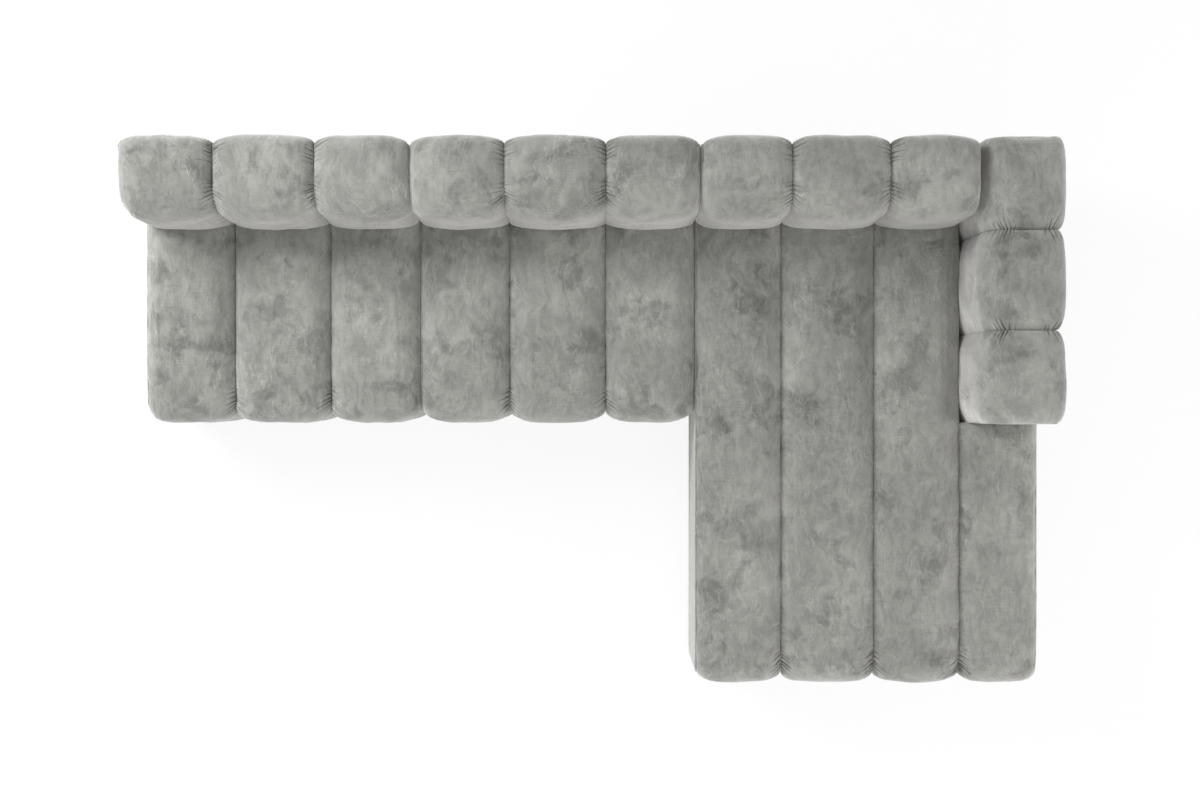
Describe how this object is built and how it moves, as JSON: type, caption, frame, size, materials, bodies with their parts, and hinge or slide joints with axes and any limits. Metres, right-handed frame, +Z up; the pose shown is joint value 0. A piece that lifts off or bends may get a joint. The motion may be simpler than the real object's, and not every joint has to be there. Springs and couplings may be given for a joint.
{
  "type": "modular corner sofa",
  "caption": "Low corner sofa in separate modules with padded channelled velvet seats, backs and one arm, and a long chaise seat at one end.",
  "frame": {"origin": "on the floor under the middle of the whole sofa's box", "axes": "+X to the right seen from the front, along the back; +Y to the back; +Z up"},
  "size_m": [2.994, 1.79, 0.72],
  "materials": {
    "velvet": "crushed grey velvet with a soft sheen, sewn in padded channels",
    "velvet_panel": "the same velvet stretched flat over the side boards",
    "dust_cloth": "black non-woven cloth",
    "foam": "open-cell upholstery foam",
    "frame_wood": "bare sawn softwood",
    "board": "bare plywood",
    "spring_steel": "oiled spring wire",
    "screw_steel": "zinc plated",
    "bracket_steel": "zinc plated sheet",
    "foot_plastic": "black moulded plastic, satin"
  },
  "bodies": {
    "middle": {"middle_back_cover": "velvet", "middle_back_foam": "foam", "middle_back_frame": "frame_wood", "middle_base_front_rail": "frame_wood", "middle_base_rear_rail": "frame_wood", "middle_base_side_rails": "frame_wood", "middle_connector_screws": "screw_steel", "middle_corner_blocks": "frame_wood", "middle_dust_cover": "dust_cloth", "middle_end_boards": "velvet_panel", "middle_feet": "foot_plastic", "middle_foot_screws": "screw_steel", "middle_pockets": "bracket_steel", "middle_seat_cover": "velvet", "middle_seat_foam": "foam", "middle_seat_springs": "spring_steel", "middle_spring_clips": "spring_steel"},
    "left": {"left_back_cover": "velvet", "left_back_foam": "foam", "left_back_frame": "frame_wood", "left_base_front_rail": "frame_wood", "left_base_rear_rail": "frame_wood", "left_base_side_rails": "frame_wood", "left_connector_screws": "screw_steel", "left_corner_blocks": "frame_wood", "left_dust_cover": "dust_cloth", "left_end_boards": "velvet_panel", "left_feet": "foot_plastic", "left_foot_screws": "screw_steel", "left_hooks": "bracket_steel", "left_seat_cover": "velvet", "left_seat_foam": "foam", "left_seat_springs": "spring_steel", "left_spring_clips": "spring_steel"},
    "chaise": {"chaise_arm_cover": "velvet", "chaise_arm_end_boards": "velvet_panel", "chaise_arm_foam": "foam", "chaise_arm_frame": "frame_wood", "chaise_back_cover": "velvet", "chaise_back_foam": "foam", "chaise_back_frame": "frame_wood", "chaise_base_cross_rails": "frame_wood", "chaise_base_front_rail": "frame_wood", "chaise_base_rear_rail": "frame_wood", "chaise_base_side_rails": "frame_wood", "chaise_connector_screws": "screw_steel", "chaise_corner_blocks": "frame_wood", "chaise_dust_cover": "dust_cloth", "chaise_end_boards": "velvet_panel", "chaise_feet": "foot_plastic", "chaise_foot_screws": "screw_steel", "chaise_hooks": "bracket_steel", "chaise_seat_cover": "velvet", "chaise_seat_foam": "foam", "chaise_seat_springs": "spring_steel", "chaise_side_deck": "board", "chaise_spring_clips": "spring_steel"}
  },
  "joints": [
    {"name": "left_lift", "type": "slide", "parent": "middle", "child": "left", "axis": [0, 0, 1], "range_m": [0, 0.06]},
    {"name": "chaise_lift", "type": "slide", "parent": "middle", "child": "chaise", "axis": [0, 0, 1], "range_m": [0, 0.06]}
  ]
}
